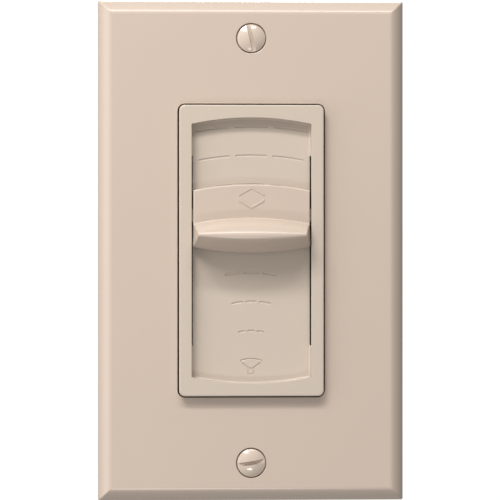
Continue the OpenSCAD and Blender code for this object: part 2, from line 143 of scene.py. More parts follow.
class Finish(NodeBench):
    def __init__(self, name, colour, roughness, metallic=0.0, **fixed):
        self.material = bpy.data.materials.new(name)
        self.material.use_nodes = True
        super().__init__(self.material.node_tree)
        self.shader = self.tree.nodes["Principled BSDF"]
        self.colour = colour
        self.set("Base Color", (*colour, 1))
        self.set("Roughness", roughness)
        self.set("Metallic", metallic)
        for socket, value in fixed.items():
            self.set(socket.replace("_", " "), value)
        self.place = self.add("ShaderNodeTexCoord", {}, {}, "Object")

    def set(self, name, value):
        self.feed(self.shader.inputs[name], value)

    def stretched(self, scale):
        return self.add("ShaderNodeVectorMath", {"operation": "MULTIPLY"}, {0: self.place, 1: scale})

    def axis(self, k):
        return self.add("ShaderNodeSeparateXYZ", {}, {0: self.place}, k)

    # noise whose grain is size millimetres across
    def noise(self, size, detail=2.0, rough=0.5, place=None):
        return self.add("ShaderNodeTexNoise", {}, {"Vector": place or self.place,
            "Scale": 1 / (size * mm), "Detail": detail, "Roughness": rough})

    def bump(self, height, depth, strength=1.0, under=None):
        links = {"Height": height, "Distance": depth * mm, "Strength": strength}
        if under:
            links["Normal"] = under
        return self.add("ShaderNodeBump", {}, links)

    def tint(self, amount, field):
        low = tuple(c * (1 - amount) for c in self.colour)
        high = tuple(min(1, c * (1 + amount)) for c in self.colour)
        colours = self.mix(field, (*low, 1), (*high, 1))
        self.set("Base Color", colours)
        return colours


# painted shade: where the plastic is painted dark down in the gap between the bezel and the plate, standing
# in for the shade that falls there
paintedGapShade = {
    "start": -0.06,      # from the bezel's outline, outwards
    "end": 1.0,
    "depth": 0.4,        # how far behind the plate's face it begins
    # the dark brown of the painted shade
    "colour": (0.09, 0.06, 0.045),
}


# painted shade mask: one in the gap between the bezel and the plate, and nought elsewhere
def paintedGapShadeMask(finish, look):
    across, along = (field.maths("ABSOLUTE", field) for field in (finish.axis(0), finish.axis(2)))
    near = [(edge + look["start"]) * mm for edge in (bezelHigh.x, bezelHigh.z)]
    far = [(edge + look["end"]) * mm for edge in (bezelHigh.x, bezelHigh.z)]
    beyond = ((across > near[0]) + (along > near[1])).clamped()
    within = (across < far[0]) * (along < far[1])
    return beyond * within * (finish.axis(1) > (plateFront + look["depth"]) * mm)


# moulded plastic: a faint flow pattern, dull and glossy patches, a fine skin, and, with gap set, painted
# shade that turns the colour dark down in the gap between the plate and the bezel
def moulded(name, colour, roughness, grain, depth, patch=0.05, gap=False, **fixed):
    look = Finish(name, colour, roughness, **fixed)
    flow = look.noise(16, 3, 0.55)
    fine = look.noise(grain, 3, 0.6)
    broad = look.noise(38, 2)
    colours = look.tint(0.018, (flow * 0.7 + fine * 0.3).clamped())
    # painted shade: the colour sinks to dark brown down in the gap, in place of the shade that falls there
    if gap:
        look.set("Base Color", look.mix(paintedGapShadeMask(look, paintedGapShade), colours, (*paintedGapShade["colour"], 1)))
    look.set("Roughness", (broad - 0.5) * patch * 2 + (fine - 0.5) * 0.06 + roughness)
    look.set("Normal", look.bump(fine, depth, 0.5, look.bump(flow, depth * 3, 0.25)))
    return look.material


# mesh helpers

def roundedRect(width, height, radius, steps=6):
    points = []
    for turn, (sx, sz) in enumerate(((1, 1), (-1, 1), (-1, -1), (1, -1))):
        for k in range(steps + 1):
            a = (turn + k / steps) * pi / 2
            points.append((sx * (width / 2 - radius) + radius * cos(a),
                sz * (height / 2 - radius) + radius * sin(a)))
    return points


def circle(radius, count, x, z):
    turns = [2 * pi * k / count for k in range(count)]
    return [(x + radius * cos(a), z + radius * sin(a)) for a in turns]


def arcPoints(radius, start, end, steps, u=0.0, v=0.0):
    turns = [radians(start + (end - start) * k / steps) for k in range(steps + 1)]
    return [(u + radius * cos(a), v + radius * sin(a)) for a in turns]


def soften(obj, width, steps, angle):
    rounding = obj.modifiers.new("rounding", "BEVEL")
    rounding.width = width * mm
    rounding.segments = steps
    rounding.limit_method = "ANGLE"
    rounding.angle_limit = radians(angle)
    return rounding


# One piece in the making, drawn as rings, walls between rings, and flat lids
class Mould:
    def __init__(self):
        self.bm = bmesh.new()

    def ring(self, points):
        return [self.bm.verts.new(Vector(p) * mm) for p in points]

    # a flat outline in X and Z, at the depth y
    def flat(self, outline, y):
        return self.ring([(x, y, z) for x, z in outline])

    def walls(self, rings, closed=True):
        for a, b in zip(rings, rings[1:]):
            for i in range(len(a) if closed else len(a) - 1):
                j = (i + 1) % len(a)
                self.bm.faces.new((a[i], a[j], b[j], b[i]))

    # the flat region inside the first ring and outside the others
    def lid(self, *rings):
        edges = []
        for ring in rings:
            for a, b in zip(ring, ring[1:] + ring[:1]):
                edges.append(self.bm.edges.get((a, b)) or self.bm.edges.new((a, b)))
        bmesh.ops.triangle_fill(self.bm, use_beauty=True, edges=edges)

    # a closed slab between two flat outlines that match point for point
    def slab(self, outline, front, back):
        rings = [self.flat(outline, front), self.flat(outline, back)]
        self.walls(rings)
        self.lid(rings[0])
        self.lid(rings[1])

    def block(self, low, high):
        outline = [(low[0], low[2]), (high[0], low[2]), (high[0], high[2]), (low[0], high[2])]
        self.slab(outline, low[1], high[1])

    # a turned shape: radius and depth pairs, round a line along Y
    def turned(self, profile, x, z, count):
        rings = [self.flat(circle(r, count, x, z), y) for r, y in profile]
        self.walls(rings)
        self.lid(rings[0])
        self.lid(rings[-1])

    def piece(self, name, finish, slot, body="housing", stands=(), angle=32, bevel=0.0, steps=2):
        bmesh.ops.remove_doubles(self.bm, verts=self.bm.verts, dist=1e-8)
        bmesh.ops.recalc_face_normals(self.bm, faces=self.bm.faces)
        mesh = bpy.data.meshes.new(name)
        self.bm.to_mesh(mesh)
        self.bm.free()
        mesh.shade_smooth()
        mesh.set_sharp_from_angle(angle=radians(angle))
        obj = bpy.data.objects.new(name, mesh)
        scene.collection.objects.link(obj)
        mesh.materials.append(finish)
        if bevel:
            soften(obj, bevel, steps, angle).harden_normals = True
        obj.modifiers.new("normals", "WEIGHTED_NORMAL").keep_sharp = True
        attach(obj, body)
        if stands:
            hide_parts(*stands)
        return obj


# cuts one piece out of another for good
def carve(obj, tool):
    cut = obj.modifiers.new("cut", "BOOLEAN")
    cut.operation = "DIFFERENCE"
    cut.solver = "EXACT"
    cut.object = tool
    obj.modifiers.move(len(obj.modifiers) - 1, 0)
    bpy.context.view_layer.update()
    others = [m for m in obj.modifiers if m != cut]
    for m in others:
        m.show_viewport = False
    graph = bpy.context.evaluated_depsgraph_get()
    mesh = bpy.data.meshes.new_from_object(obj.evaluated_get(graph))
    obj.modifiers.remove(cut)
    for m in others:
        m.show_viewport = True
    obj.data = mesh
    bpy.data.objects.remove(tool)


# finishes

# the almond plate and the ivory bezel carry painted shade in the gap between them
almond = moulded("almondPlastic", (0.53, 0.436, 0.367), 0.25, 0.22, 0.004, gap=True, IOR=1.5)
ivory = moulded("ivoryPlastic", (0.525, 0.448, 0.378), 0.38, 0.18, 0.005, gap=True, IOR=1.5)
almondPaint = moulded("almondPaint", (0.55, 0.455, 0.38), 0.22, 0.3, 0.006, IOR=1.5, Coat_Weight=0.3)


# sheet or turned metal: fine lines along one axis, a mottled plating, and a few dull patches
def metal(name, colour, roughness, grain, depth, tintBy=0.1, patch=0.1):
    look = Finish(name, colour, roughness, 1.0)
    lines = look.noise(0.12, 2, 0.6, look.stretched(grain))
    cloud = look.noise(2.4, 4, 0.6)
    look.tint(tintBy, (cloud * 0.8 + lines * 0.2).clamped())
    look.set("Roughness", (cloud - 0.5) * patch * 2 + (lines - 0.5) * 0.12 + roughness)
    look.set("Normal", look.bump(lines, depth, 0.6, look.bump(cloud, 0.01, 0.2)))
    return look.material


zincSteel = metal("zincSteel", (0.62, 0.61, 0.57), 0.34, (1, 1, 0.05), 0.004)
rodSteel = metal("rodSteel", (0.66, 0.66, 0.67), 0.2, (0.03, 1, 1), 0.002, 0.05, 0.05)
springSteel = metal("springSteel", (0.52, 0.53, 0.56), 0.25, (1, 1, 0.04), 0.002, 0.06, 0.06)
contactPlate = metal("contactPlate", (0.78, 0.68, 0.42), 0.26, (1, 1, 0.1), 0.002, 0.08, 0.08)
phosphorBronze = metal("phosphorBronze", (0.74, 0.5, 0.3), 0.28, (0.1, 1, 1), 0.002, 0.08, 0.08)
tinnedPin = metal("tinnedPin", (0.74, 0.73, 0.7), 0.3, (1, 0.1, 1), 0.003, 0.06, 0.1)
blackPlastic = moulded("blackPlastic", (0.022, 0.022, 0.024), 0.42, 0.2, 0.006, 0.08, IOR=1.5)
greyPlastic = moulded("greyPlastic", (0.16, 0.165, 0.17), 0.45, 0.2, 0.008, 0.06, IOR=1.5)
bobbinPlastic = moulded("bobbinPlastic", (0.62, 0.6, 0.53), 0.38, 0.25, 0.006, 0.06, IOR=1.5)
terminalPlastic = moulded("terminalPlastic", (0.035, 0.27, 0.105), 0.36, 0.25, 0.006, 0.07, IOR=1.5)


# varnished steel sheets with specks of rust; the lines between the sheets are in the mesh
def makeCoreSteel():
    look = Finish("coreSteel", (0.23, 0.225, 0.225), 0.42, 0.85)
    shade = look.add("ShaderNodeTexWave",
        {"wave_type": "BANDS", "bands_direction": "X", "wave_profile": "SAW"},
        {"Vector": look.place, "Scale": 19.99, "Distortion": 0.15, "Detail": 1.0, "Detail Scale": 30.0})
    cloud = look.noise(1.6, 4, 0.6)
    rust = (look.noise(3.2, 5, 0.7) * 6 - 3.6).clamped()
    base = look.mix((shade * 0.5 + cloud * 0.5).clamped(), (0.15, 0.148, 0.15, 1), (0.33, 0.325, 0.32, 1))
    look.set("Base Color", look.mix(rust * 0.45, base, (0.26, 0.13, 0.06, 1)))
    look.set("Roughness", cloud * 0.25 + 0.3)
    look.set("Normal", look.bump(shade, 0.05, 0.7, look.bump(cloud, 0.02, 0.3)))
    return look.material


# enamelled wire, wound round and round: one ridge for each turn
def makeEnamelWire():
    look = Finish("enamelWire", (0.5, 0.17, 0.05), 0.25, 0.75, Coat_Roughness=0.08)
    turns = look.add("ShaderNodeTexWave", {"wave_type": "BANDS", "bands_direction": "Y"},
        {"Vector": look.place, "Scale": 700.0, "Distortion": 0.4, "Detail": 1.0, "Detail Scale": 20.0})
    cloud = look.noise(1.8, 3, 0.6)
    blend = (turns * 0.6 + cloud * 0.4).clamped()
    look.set("Base Color", look.mix(blend, (0.24, 0.06, 0.018, 1), (0.66, 0.27, 0.1, 1)))
    look.set("Roughness", cloud * 0.2 + 0.18)
    look.set("Normal", look.bump(turns, 0.12, 0.9))
    return look.material


# polyester tape: smooth, faintly wrinkled, a little darker where it lies over the wire
def makeWindingTape():
    look = Finish("windingTape", (0.74, 0.52, 0.11), 0.24, IOR=1.5)
    wrinkle = look.noise(1.4, 3, 0.55, look.stretched((0.5, 1, 0.5)))
    ridges = look.add("ShaderNodeTexWave", {"wave_type": "BANDS", "bands_direction": "Y"},
        {"Vector": look.place, "Scale": 260.0, "Distortion": 1.2, "Detail": 1.0})
    look.tint(0.12, (wrinkle * 0.6 + ridges * 0.4).clamped())
    look.set("Roughness", wrinkle * 0.2 + 0.14)
    look.set("Normal", look.bump(wrinkle, 0.12, 0.5, look.bump(ridges, 0.03, 0.4)))
    return look.material


# glass cloth under a green solder mask
def makeCircuitBoard():
    look = Finish("circuitBoard", (0.02, 0.16, 0.06), 0.3, IOR=1.5, Coat_Weight=0.35, Coat_Roughness=0.15)
    weave = look.add("ShaderNodeTexChecker", {}, {"Vector": look.place, "Scale": 1600.0}, 1)
    cloud = look.noise(5, 3, 0.5)
    look.tint(0.22, (weave * 0.35 + cloud * 0.65).clamped())
    look.set("Roughness", cloud * 0.16 + 0.24)
    look.set("Normal", look.bump(weave, 0.006, 0.4, look.bump(cloud, 0.02, 0.3)))
    return look.material


printInk = moulded("printInk", (0.78, 0.78, 0.74), 0.5, 0.1, 0.003, 0.08, IOR=1.5)
coreSteel = makeCoreSteel()
enamelWire = makeEnamelWire()
windingTape = makeWindingTape()
circuitBoard = makeCircuitBoard()
print("finishes made")

# wall plate

plateLook = {
    "shell": 2.0,           # thickness behind the face
    "arcRadius": 4.96,      # radius of the rounded bevel
    "arcIn": 4.76,          # from the outline in to the bevel's centre line
    "arcBack": 1.0,         # from the wall out to the bevel's centre line
    "gap": 0.35,            # between the opening and the bezel
    "openingEdge": 0.1,
    "openingCorner": 1.65,
    "undercut": 0.3,        # how far the opening's wall leans away behind its front edge
    "undercutEnd": 1.2,     # how deep it is there
    "collar": 1.5,          # thickness of the collar round the opening
    "collarCorner": 2.5,
    "collarBack": -2.2,
    "edgeRadius": 2.0,      # softness where the bevel meets the flat face
    "corner": 0.45,         # softness of the mitred corners
    "holeRadius": 3.45,     # countersink for each cover screw
    "holeEdge": (0.14, 0.04),
    "well": 0.5,            # straight part of the countersink
    "sink": 1.5,            # depth of the sloped part
    "bossRadius": 5.0,
    "bossBack": -1.9,
    "rib": (24.0, 0.6, 45.0),   # its place across, half its thickness and half its length
    "ribBack": -1.4,
}


def makeWallPlate(look):
    low, high = span("wall_plate")
    width, height, front = high.x - low.x, high.z - low.z, low.y
    openW, openH = bezelW + 2 * look["gap"], bezelH + 2 * look["gap"]
    under = front + look["shell"]
    m = Mould()

    def outline(inset, y, soft=1.0):
        corner = max(look["corner"] * soft, 0.08)
        return m.flat(roundedRect(width - 2 * inset, height - 2 * inset, corner, 5), y)

    def opened(grow, y, corner):
        return m.flat(roundedRect(openW + 2 * grow, openH + 2 * grow, corner), y)

    # outside: the rim, the rounded bevel, then the crisp edge of the flat face
    startTurn = asin(sqrt(1 - (look["arcIn"] / look["arcRadius"]) ** 2))
    soft = look["edgeRadius"]
    endTurn = asin((-front - look["arcBack"] - soft) / (look["arcRadius"] - soft))
    outside = [outline(look["shell"], 0), outline(0.12, 0), outline(0, -0.12)]
    for k in range(17):
        a = startTurn + (endTurn - startTurn) * k / 16
        outside.append(outline(look["arcIn"] - look["arcRadius"] * cos(a),
            -look["arcBack"] - look["arcRadius"] * sin(a), 1 - 0.6 * k / 16))
    softIn = look["arcIn"] - (look["arcRadius"] - soft) * cos(endTurn)
    for k in range(1, 7):
        a = endTurn + (pi / 2 - endTurn) * k / 6
        outside.append(outline(softIn - soft * cos(a), front + soft - soft * sin(a), 0.4))
    m.walls(outside)

    # opening: soft front edge, wall, and the lip behind it
    lip, corner, undercut = look["openingEdge"], look["openingCorner"], look["undercut"]
    opening = [opened(u, front - v, corner + u) for u, v in arcPoints(lip, 90, 180, 4, lip, -lip)]
    for y in (front + look["undercutEnd"], look["collarBack"]):
        opening.append(opened(undercut, y, corner + undercut))
    for y in (look["collarBack"], under):
        opening.append(opened(look["collar"], y, look["collarCorner"]))
    m.walls(opening)

    # countersunk holes on their bosses
    holes = []
    for side in (-1, 1):
        radius, (wide, slim), foot = look["holeRadius"], look["holeEdge"], front + look["well"]
        throat = radius - look["sink"]
        profile = [(radius + wide, front), (radius + slim, front + slim), (radius, front + wide),
            (radius, foot), (throat, foot + look["sink"]), (throat, look["bossBack"]),
            (look["bossRadius"], look["bossBack"]), (look["bossRadius"], under)]
        rings = [m.flat(circle(r, 64, 0, side * coverScrewZ), y) for r, y in profile]
        m.walls(rings)
        holes.append(rings)
    m.lid(outside[-1], opening[0], holes[0][0], holes[1][0])

    # inside of the shell
    innerRadius = look["arcRadius"] - look["shell"]
    a0 = asin(sqrt(1 - ((look["arcIn"] - look["shell"]) / innerRadius) ** 2))
    a1 = asin((-under - look["arcBack"]) / innerRadius)
    inside = [outside[0]]
    for k in range(9):
        a = a0 + (a1 - a0) * k / 8
        inside.append(outline(look["arcIn"] - innerRadius * cos(a),
            -look["arcBack"] - innerRadius * sin(a)))
    m.walls(inside)
    m.lid(inside[-1], opening[-1], holes[0][-1], holes[1][-1])
    ribX, ribThick, ribLong = look["rib"]
    for side in (-1, 1):
        m.block((side * ribX - ribThick, under - 0.4, -ribLong),
            (side * ribX + ribThick, look["ribBack"], ribLong))
    m.piece("wallPlate", almond, "almond_plastic", stands=["wall_plate"], angle=20)


makeWallPlate(plateLook)
print("wall plate made")

# cover screws

screwLook = {
    "turns": (-9.5, -103.0),  # how far each slot is turned, bottom screw first
    "slotWidth": 0.9,
    "slotDepth": 0.8,
    "domeRise": 0.9,
    "rimCut": 0.12,           # how much smaller the head is than its widest line
    "threads": 16,
    "crest": 1.72,            # radius of the thread
    "root": 1.45,             # radius between its turns
    "neck": 2.0,              # from the rim to the first turn
    "tip": (0.5, 1.0),        # length and radius of the tapered end
}


def makeCoverScrews(look):
    low, high = span("plate_screws")
    widest = (high.x - low.x) / 2
    headRadius = widest - look["rimCut"]
    screwZ = (high.z - low.z) / 2 - widest
    rim = plateFront + 0.05
    dome = (headRadius ** 2 + look["domeRise"] ** 2) / (2 * look["domeRise"])
    crest, root, neck = look["crest"], look["root"], rim + look["neck"]
    tipLength, tipRadius = look["tip"]
    for name, side, turn in zip(("lowerCoverScrew", "upperCoverScrew"), (-1, 1), look["turns"]):
        m = Mould()
        profile = [(0.02, rim - look["domeRise"])]
        for k in range(1, 13):
            r = headRadius * 0.975 * k / 12
            profile.append((r, rim - look["domeRise"] + dome - sqrt(dome * dome - r * r)))
        profile += [(headRadius - 0.02, rim - 0.02), (headRadius, rim + 0.06), (headRadius, rim + 0.42),
            (crest, neck - 0.1), (1.5, neck)]
        pitch = (high.y - tipLength - 0.1 - neck) / look["threads"]
        for k in range(look["threads"]):
            for r, share in ((root, 0.05), (crest, 0.45), (crest, 0.55), (root, 0.95)):
                profile.append((r, neck + pitch * (k + share)))
        profile += [(root, high.y - tipLength), (tipRadius, high.y)]
        m.turned(profile, 0, side * screwZ, 72)
        screw = m.piece(name, almondPaint, "almond_paint", stands=["plate_screws"], angle=40)
        tool = Mould()
        a = radians(turn)
        reach, half = headRadius + 0.6, look["slotWidth"] / 2
        corners = [(-reach, -half), (reach, -half), (reach, half), (-reach, half)]
        turned = [(u * cos(a) + v * sin(a), side * screwZ - u * sin(a) + v * cos(a)) for u, v in corners]
        tool.slab(turned, rim - 3, rim - look["domeRise"] + look["slotDepth"])
        carve(screw, tool.piece("slotTool", almondPaint, "almond_paint"))
        soften(screw, 0.07, 2, 50)
        screw.modifiers.move(1, 0)
        screw.data.set_sharp_from_angle(angle=radians(40))


makeCoverScrews(screwLook)
print("cover screws made")

# bezel

bezelLook = {
    "corner": 1.3,
    "edge": 0.32,         # softness of the outer front edge
    "windowEdge": 0.12,   # softness of the window's edge
    "skin": 1.2,          # thickness behind the face
    "windowBow": 64.0,    # radius of the bowed ends
    "wall": 0.9,
    "flange": 0.9,        # lip round the back, under the plate
    "flangeDepth": 0.5,
    "pocket": (30.5, 63.8, 0.4),   # hollow behind the face: width, height and corner
    "hookX": (6, 10),
    # side view of a hook: depth and height pairs
    "hook": ((-2.2, 31.95), (1.2, 31.95), (2.0, 32.15), (2.0, 32.7), (0.5, 33.6), (0.1, 33.6), (0.1, 33.0),
        (-2.2, 33.0)),
}


# outline of the window, grown or shrunk; its sides have points where the slits end
def windowOutline(grow, bow, steps=28):
    half = windowW / 2 + grow
    rise = windowH / 2 - bow
    reach = bow + grow
    ends = asin(half / reach)
    turns = [ends - 2 * ends * k / steps for k in range(steps + 1)]
    top = [(reach * sin(a), rise + reach * cos(a)) for a in turns]
    left = [(-half, slitHalf), (-half, -slitHalf)]
    bottom = [(-x, -z) for x, z in top]
    right = [(half, -slitHalf), (half, slitHalf)]
    return top + left + bottom + right


def makeBezel(look):
    back = span("yoke")[0].y
    under = bezelFront + look["skin"]
    m = Mould()
    f = look["flange"]
    outside = [m.flat(roundedRect(bezelW + 2 * u, bezelH + 2 * u, look["corner"] + u, 8), y)
        for u, y in ((f, back), (f, back - look["flangeDepth"]), (0, back - look["flangeDepth"]))]
    e = look["edge"]
    for u, v in arcPoints(e, 180, 90, 5, e, -e):
        outline = roundedRect(bezelW - 2 * u, bezelH - 2 * u, look["corner"] - u * 0.6, 8)
        outside.append(m.flat(outline, bezelFront - v))
    m.walls(outside)
    w = look["windowEdge"]
    inside = []
    for u, v in arcPoints(w, 90, 180, 3, w, -w):
        inside.append(m.flat(windowOutline(u, look["windowBow"]), bezelFront - v))
    inside.append(m.flat(windowOutline(0, look["windowBow"]), under))
    m.walls(inside)
    m.lid(outside[-1], inside[0])
    pocket = [m.flat(roundedRect(*look["pocket"], 4), y) for y in (under, back)]
    m.walls(pocket)
    m.lid(pocket[0], inside[-1])
    m.lid(outside[0], pocket[1])

    # the deeper wall round each end of the window
    for flip in (1, -1):
        rings = []
        for grow, y in ((0, under), (0, floorFront), (look["wall"], floorFront), (look["wall"], under)):
            ends = [p for p in windowOutline(grow, look["windowBow"]) if p[1] >= slitHalf]
            ends = [ends[-1]] + ends[:-1]
            rings.append(m.flat([(flip * x, flip * z) for x, z in ends], y))
        m.walls(rings + rings[:1], closed=False)
        for k in (0, -1):
            m.bm.faces.new([r[k] for r in rings])
    for sx in (-1, 1):
        for sz in (-1, 1):
            rings = [m.ring([(sx * x, y, sz * z) for y, z in look["hook"]]) for x in look["hookX"]]
            m.walls(rings)
            m.bm.faces.new(rings[0])
            m.bm.faces.new(rings[1])
    m.piece("bezelFrame", ivory, "ivory_plastic", stands=["bezel"], angle=28)


makeBezel(bezelLook)
print("bezel made")

# scale plate

scaleLook = {
    "rows": 8,
    "top": 28.3,           # height of the top row
    "step": 6.66,          # from one row to the next
    "source": -28.2,       # the rows fan out from here
    "groove": 0.56,        # width of a groove at the face
    "floor": 0.24,         # width at the bottom of a groove
    "depth": 0.16,
    "cove": 0.6,           # hollow fillet where the floor meets the side of the window
    "endCove": 0.35,       # the same along its bowed ends
    "bowShare": 1.25,      # radius of a row over its height above the source
    "reach": (0.76, 0.226),     # half length of a row: at the source, and what each millimetre adds
    "space": (0.12, 0.0225),    # space between dashes, in the same way
    "thickness": 1.4,
    "notch": 13.35,        # half width between the slits
    "foot": (11, 30.3, 1.25),   # place across and up, and radius
}
signLook = {
    "mouth": (2.5, -25.1),      # half width and height of the horn's mouth
    "mouthBow": 0.5,
    "throat": (0.3, -26.85),
    "magnet": (0.62, -26.95, -28.15),   # half width, top and bottom
    "spread": (0.2, 0.07),      # how far its groove spreads, at the face and at the bottom
}


# outline of a dash bent along an arc about (0, centre), with round ends
def dashOutline(centre, radius, start, end, width, steps=10):
    half = width / 2
    a0, a1 = asin(start / radius), asin(end / radius)
    points = []
    for side, first, last in ((1, a0, a1), (-1, a1, a0)):
        r = radius + side * half
        turns = [first + (last - first) * k / steps for k in range(steps + 1)]
        points += [(r * sin(a), centre + r * cos(a)) for a in turns]
        for k in range(1, 6):
            b = side * (pi / 2 - pi * k / 6)
            points.append((radius * sin(last) + half * (sin(last) * sin(b) + side * cos(last) * cos(b)),
                centre + radius * cos(last) + half * (cos(last) * sin(b) - side * sin(last) * cos(b))))
    return points


# outlines of the loudspeaker sign: the horn and the magnet behind it
def signOutlines(spread, look):
    (mouth, mouthZ), (throat, throatZ), (magnet, top, foot) = look["mouth"], look["throat"], look["magnet"]

    def horn(edge):
        shares = [1 - k / 5 for k in range(11)]
        return [((mouth + edge) * t, mouthZ + edge * 0.6 + look["mouthBow"] * (1 - t ** 2)) for t in shares]

    wide, thin = magnet + spread, magnet - spread
    outer = horn(spread) + [(-wide, top), (-wide, foot - spread), (wide, foot - spread), (wide, top)]
    inner = horn(-spread * 1.9) + [(-throat, throatZ + spread), (throat, throatZ + spread)]
    box = [(-thin, top - spread * 0.6), (-thin, foot + spread), (thin, foot + spread),
        (thin, top - spread * 0.6)]
    return outer, inner, box


def makeScalePlate(look):
    low, high = span("scale_plate")
    front, back = low.y, low.y + look["thickness"]
    halfW, halfH, notch = high.x, high.z, look["notch"]
    edge = [(halfW, slitHalf), (halfW, halfH), (-halfW, halfH), (-halfW, slitHalf), (-notch, slitHalf),
        (-notch, -slitHalf), (-halfW, -slitHalf), (-halfW, -halfH), (halfW, -halfH), (halfW, -slitHalf),
        (notch, -slitHalf), (notch, slitHalf)]
    m = Mould()
    rings = [m.flat(edge, front), m.flat(edge, back)]
    m.walls(rings)
    m.lid(rings[1])
    grooves = []
    for i in range(look["rows"]):
        z = look["top"] - i * look["step"]
        rise = z - look["source"]
        bow = look["bowShare"] * rise
        half, space = (base + slope * rise for base, slope in (look["reach"], look["space"]))
        half = min(half, notch - 0.5)
        dash = (2 * half - 2 * space) / 3
        for k in (-1, 0, 1):
            middle = k * (dash + space)
            wide, slim = (dashOutline(z - bow, bow, middle - dash / 2 + w / 2, middle + dash / 2 - w / 2, w)
                for w in (look["groove"], look["floor"]))
            top, bottom = m.flat(wide, front), m.flat(slim, front + look["depth"])
            m.walls([top, bottom])
            m.lid(bottom)
            grooves.append(top)
    tops = [m.flat(o, front) for o in signOutlines(signLook["spread"][0], signLook)]
    bottoms = [m.flat(o, front + look["depth"]) for o in signOutlines(signLook["spread"][1], signLook)]
    for a, b in zip(tops, bottoms):
        m.walls([a, b])
    m.lid(*bottoms)
    m.lid(rings[0], *grooves, *tops)

    # hollow fillet against the window's end walls
    bow = bezelLook["windowBow"]
    c = look["cove"]
    section = [(0.02, front + 0.02), (0.02, front - c)]
    section += [(u, -v) for u, v in arcPoints(c, 180, 270, 6, c, -front + c)][1:] + [(c, front + 0.02)]
    share = look["endCove"] / c
    for flip in (1, -1):
        strips = []
        for inset, y in section:
            across, along = (windowOutline(-inset * k, bow) for k in (1, share))
            ends = [(a[0], y if a[1] <= slitHalf else front + (y - front) * share, b[1])
                for a, b in zip(across, along) if a[1] >= slitHalf]
            ends = [ends[-1]] + ends[:-1]
            strips.append(m.ring([(flip * x, depth, flip * z) for x, depth, z in ends]))
        m.walls(strips + strips[:1], closed=False)
        for k in (0, -1):
            m.bm.faces.new([s[k] for s in strips])
    footX, footZ, radius = look["foot"]
    for sx in (-1, 1):
        for sz in (-1, 1):
            profile = [(radius, back - 0.1), (radius, high.y - 0.15), (radius - 0.15, high.y)]
            m.turned(profile, sx * footX, sz * footZ, 24)
    m.piece("scaleFloor", ivory, "ivory_plastic", stands=["scale_plate"], angle=28)


makeScalePlate(scaleLook)
print("scale plate made")

# slider

sliderLook = {
    "topBow": 65.0,        # radius of the bowed top edge and of the crease
    "baseBow": 68.0,
    "edge": 0.4,           # softness of the top edge
    "crease": 7.3,         # height of the crease above the origin, in the middle
    "shelfTilt": 80.0,     # how far the top of the lip leans out at the crease
    "hug": (0.5, 0.4),     # how long its curve keeps to the slopes at its two ends
    "noseHeight": (3.4, 3.62),   # middle of the nose: at the centre, at the ends
    "noseRadius": (1.55, 0.6),
    "nosePlan": 120.0,     # radius of the nose seen from above
    "taper": 1.1,          # how much each end of the lip is cut back at the nose
    "halfWidth": 13.25,
    "clearance": 0.2,      # between its back and the scale plate
    "foot": (0.1, 0.16, 0.35),  # the small chamfer under the base: its two ends, back and up
    "slices": 44,
    "arrows": ((12.9, 1), (11.2, -1)),   # height of each arrowhead, and the way it points
    "arrow": ((-2.9, 0), (0, 1.7), (2.9, 0), (2.9, -0.55), (0, 1.1), (-2.9, -0.55)),
    "arrowRise": 0.12,
    # one leg, as boxes: the tab in the slit, the leg itself and the catch at its end
    "leg": (((12.25, -6.2, 6.5), (14.95, -5.4, 9.5)), ((13.75, -5.5, 6.5), (14.95, -0.4, 9.5)),
        ((13.0, -1.35, 6.5), (14.0, -0.4, 9.5))),
}


def arcDrop(x, radius):
    return radius - sqrt(radius * radius - x * x)


# a curve from a to c that turns near the bend b
def sweep(a, b, c, hug, t):
    early = [p + (q - p) * hug[0] for p, q in zip(a, b)]
    late = [q + (r - q) * hug[1] for q, r in zip(b, c)]
    u = 1 - t
    weights = (u ** 3, 3 * u * u * t, 3 * u * t * t, t ** 3)
    return tuple(sum(w * p for w, p in zip(weights, along)) for along in zip(a, early, late, c))


